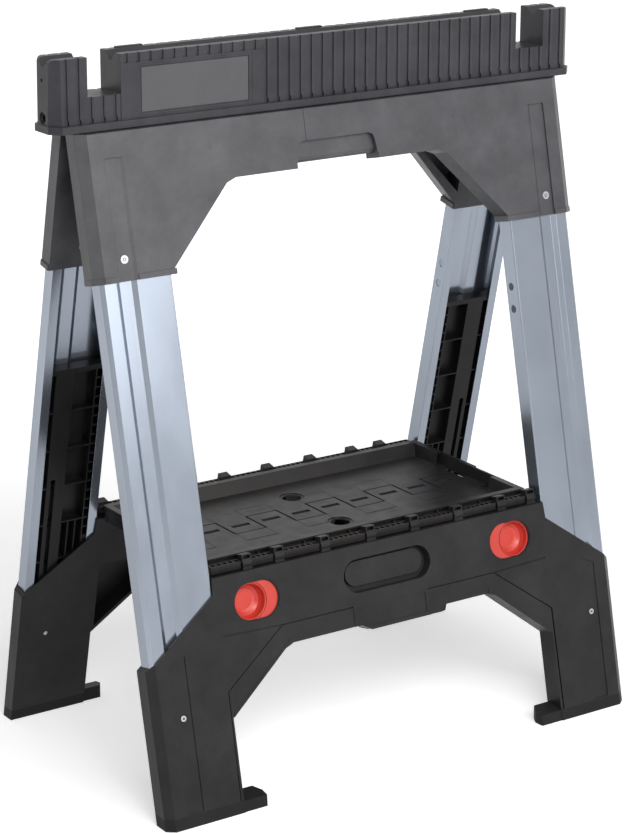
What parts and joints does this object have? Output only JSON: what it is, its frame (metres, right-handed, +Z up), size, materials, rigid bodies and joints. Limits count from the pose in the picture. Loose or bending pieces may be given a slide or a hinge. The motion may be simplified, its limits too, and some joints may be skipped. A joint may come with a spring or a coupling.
{
  "type": "folding sawhorse",
  "caption": "Folding sawhorse with a ribbed notched rail, two hinged leg frames with telescoping steel legs, spring catches and a fold-up tray.",
  "frame": {"origin": "middle of the footprint on the floor, under the rail", "axes": "+Z up, X along the rail, -Y the front with the plate on the rail's left half"},
  "size_m": [0.686, 0.3846, 0.8045],
  "materials": {
    "rail_plastic": "moulded, fine satin grain",
    "plate_plastic": "moulded, bare plate",
    "rod_steel": "drawn rod",
    "shell_plastic": "moulded, fine satin grain",
    "leg_steel": "satin blue-grey sheet steel",
    "fastener_steel": "bright zinc",
    "bracket_plastic": "moulded, dark satin",
    "inner_plastic": "moulded, black",
    "foot_rubber": "moulded rubber",
    "latch_plastic": "moulded, red",
    "tray_plastic": "moulded, dark warm grey"
  },
  "bodies": {
    "rail": {"rail": "rail_plastic", "blank_plate": "plate_plastic", "hinge_rod": "rod_steel"},
    "front_frame": {"front_upper_shell": "shell_plastic", "front_leg_left": "leg_steel", "front_leg_right": "leg_steel", "front_shell_rivets": "fastener_steel"},
    "front_bracket": {"front_bracket": "bracket_plastic", "front_inner_leg_left": "inner_plastic", "front_inner_leg_right": "inner_plastic", "front_foot_left": "foot_rubber", "front_foot_right": "foot_rubber", "front_bracket_screws": "fastener_steel"},
    "front_latch_left": {"front_latch_left": "latch_plastic"},
    "front_latch_right": {"front_latch_right": "latch_plastic"},
    "front_tray": {"front_tray_half": "tray_plastic"},
    "rear_frame": {"rear_upper_shell": "shell_plastic", "rear_leg_left": "leg_steel", "rear_leg_right": "leg_steel", "rear_shell_rivets": "fastener_steel"},
    "rear_bracket": {"rear_bracket": "bracket_plastic", "rear_inner_leg_left": "inner_plastic", "rear_inner_leg_right": "inner_plastic", "rear_foot_left": "foot_rubber", "rear_foot_right": "foot_rubber", "rear_bracket_screws": "fastener_steel"},
    "rear_latch_left": {"rear_latch_left": "latch_plastic"},
    "rear_latch_right": {"rear_latch_right": "latch_plastic"},
    "rear_tray": {"rear_tray_half": "tray_plastic"}
  },
  "joints": [
    {"name": "front_fold", "type": "hinge", "parent": "rail", "child": "front_frame", "pos_m": [0, 0, 0.741], "axis": [1, 0, 0], "range_deg": [0, 12.6]},
    {"name": "rear_fold", "type": "hinge", "parent": "rail", "child": "rear_frame", "pos_m": [0, 0, 0.741], "axis": [-1, 0, 0], "range_deg": [0, 12.6]},
    {"name": "front_extend", "type": "slide", "parent": "front_frame", "child": "front_bracket", "axis": [0, -0.2181, -0.9759], "range_m": [0, 0.19]},
    {"name": "rear_extend", "type": "slide", "parent": "rear_frame", "child": "rear_bracket", "axis": [0, 0.2181, -0.9759], "range_m": [0, 0.19]},
    {"name": "front_tray_fold", "type": "hinge", "parent": "front_bracket", "child": "front_tray", "pos_m": [0, -0.121, 0.2565], "axis": [1, 0, 0], "range_deg": [0, 79.5]},
    {"name": "rear_tray_fold", "type": "hinge", "parent": "rear_bracket", "child": "rear_tray", "pos_m": [0, 0.121, 0.2565], "axis": [-1, 0, 0], "range_deg": [0, 79.5]},
    {"name": "front_left_button", "type": "slide", "parent": "front_bracket", "child": "front_latch_left", "axis": [1, 0, 0], "range_m": [0, 0.014], "stiffness_N_per_m": 250, "springref_m": -0.004},
    {"name": "front_right_button", "type": "slide", "parent": "front_bracket", "child": "front_latch_right", "axis": [-1, 0, 0], "range_m": [0, 0.014], "stiffness_N_per_m": 250, "springref_m": -0.004},
    {"name": "rear_left_button", "type": "slide", "parent": "rear_bracket", "child": "rear_latch_left", "axis": [1, 0, 0], "range_m": [0, 0.014], "stiffness_N_per_m": 250, "springref_m": -0.004},
    {"name": "rear_right_button", "type": "slide", "parent": "rear_bracket", "child": "rear_latch_right", "axis": [-1, 0, 0], "range_m": [0, 0.014], "stiffness_N_per_m": 250, "springref_m": -0.004}
  ],
  "couplings": [
    {"joint": "rear_fold", "follows": "front_fold", "ratio": 1},
    {"joint": "front_tray_fold", "follows": "front_fold", "ratio": 6.3016},
    {"joint": "rear_tray_fold", "follows": "front_fold", "ratio": 6.3016},
    {"joint": "rear_extend", "follows": "front_extend", "ratio": 1}
  ]
}
